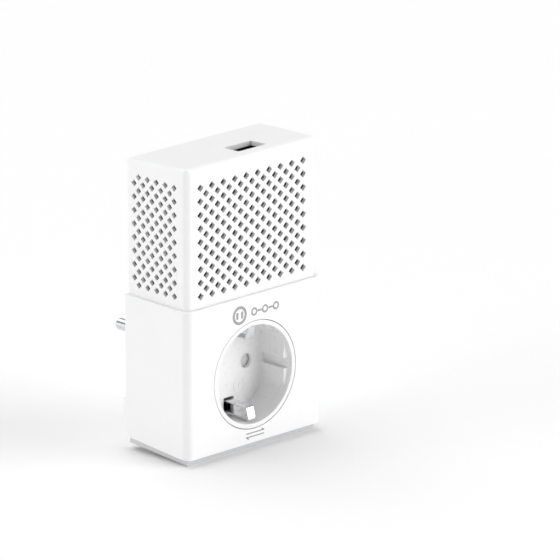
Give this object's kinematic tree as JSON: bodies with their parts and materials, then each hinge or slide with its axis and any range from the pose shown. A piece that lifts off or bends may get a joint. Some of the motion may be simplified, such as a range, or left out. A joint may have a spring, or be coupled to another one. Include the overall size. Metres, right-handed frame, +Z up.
{
  "type": "powerline adapter",
  "caption": "White plug-in powerline adapter: perforated upper housing, lower sleeve with a pass-through round mains socket, network port on top and a two-pin plug behind.",
  "frame": {"origin": "on the underside, below the centre of the whole part's box", "axes": "+Z up, -Y towards the room (socket side), +Y into the wall outlet along the plug pins, +X to the right seen from the front"},
  "size_m": [0.0729, 0.0684, 0.1199],
  "materials": {
    "shell": "satin white",
    "liner": "grey film",
    "foot": "light grey",
    "insert": "satin white",
    "shutter": "pale grey",
    "spring": "bright",
    "bright": "nickel plated",
    "contact": "bright",
    "wire_live": "brown sleeve",
    "wire_neutral": "blue sleeve",
    "board_tan": "laminate",
    "board_green": "laminate",
    "ribbon": "film",
    "black_plastic": "moulded",
    "tin": "tinned",
    "alloy": "milled",
    "tape": "tape",
    "cap_sleeve": "sleeve",
    "copper": "enamelled wire",
    "ceramic": "glazed",
    "blue_coat": "coated",
    "button": "satin",
    "led": "clear resin",
    "clear": "frosted",
    "screw": "zinc plated",
    "label": "film"
  },
  "bodies": {
    "housing": {"upper_cover": "shell", "vent_liner": "liner", "lower_cover": "shell", "bottom_cap": "foot", "rear_cover": "shell", "socket_insert": "insert", "shutter_spring": "spring", "earth_strap": "bright", "plug_earth_contacts": "bright", "live_contact": "contact", "neutral_contact": "contact", "plug_pin_left": "bright", "plug_pin_right": "bright", "live_lead": "wire_live", "neutral_lead": "wire_neutral", "power_board": "board_tan", "main_board": "board_green", "ui_board": "board_green", "ui_ribbon": "ribbon", "ethernet_jack": "black_plastic", "jack_shield": "tin", "ethernet_magnetics": "black_plastic", "network_chip": "black_plastic", "memory_chip": "black_plastic", "chip_heatsink": "alloy", "crystal": "tin", "power_transformer": "tape", "bulk_capacitors": "cap_sleeve", "filter_choke": "copper", "fuse": "ceramic", "varistor": "blue_coat", "pair_switch": "black_plastic", "reset_switch": "black_plastic", "status_leds": "led", "light_pipes": "clear", "cover_screws": "screw", "board_screws": "screw", "rating_label": "label"},
    "shutter": {"shutter_rotor": "shutter"},
    "clip_top": {"earth_clip_top": "bright"},
    "clip_bottom": {"earth_clip_bottom": "bright"},
    "pair_cap": {"pair_button": "button", "pair_plunger": "button"},
    "reset_stem": {"reset_plunger": "button"},
    "jack_springs": {"jack_contacts": "contact"}
  },
  "joints": [
    {"name": "shutter_turn", "type": "hinge", "parent": "housing", "child": "shutter", "pos_m": [0, -0.01655, 0.0306], "axis": [0, -1, 0], "range_deg": [0, 40], "stiffness_Nm_per_rad": 0.002},
    {"name": "earth_clip_top_flex", "type": "hinge", "parent": "housing", "child": "clip_top", "pos_m": [0, -0.01625, 0.0446], "axis": [-1, 0, 0], "range_deg": [0, 2.5], "stiffness_Nm_per_rad": 2},
    {"name": "earth_clip_bottom_flex", "type": "hinge", "parent": "housing", "child": "clip_bottom", "pos_m": [0, -0.01625, 0.0166], "axis": [1, 0, 0], "range_deg": [0, 2.5], "stiffness_Nm_per_rad": 2},
    {"name": "pair_press", "type": "slide", "parent": "housing", "child": "pair_cap", "axis": [-1, 0, 0], "range_m": [0, 0.0004], "stiffness_N_per_m": 2500},
    {"name": "reset_press", "type": "slide", "parent": "housing", "child": "reset_stem", "axis": [-1, 0, 0], "range_m": [0, 0.00025], "stiffness_N_per_m": 2500},
    {"name": "jack_contacts_flex", "type": "hinge", "parent": "housing", "child": "jack_springs", "pos_m": [0.00605, -0.01915, 0.1093], "axis": [1, 0, 0], "range_deg": [0, 8], "stiffness_Nm_per_rad": 0.02}
  ]
}
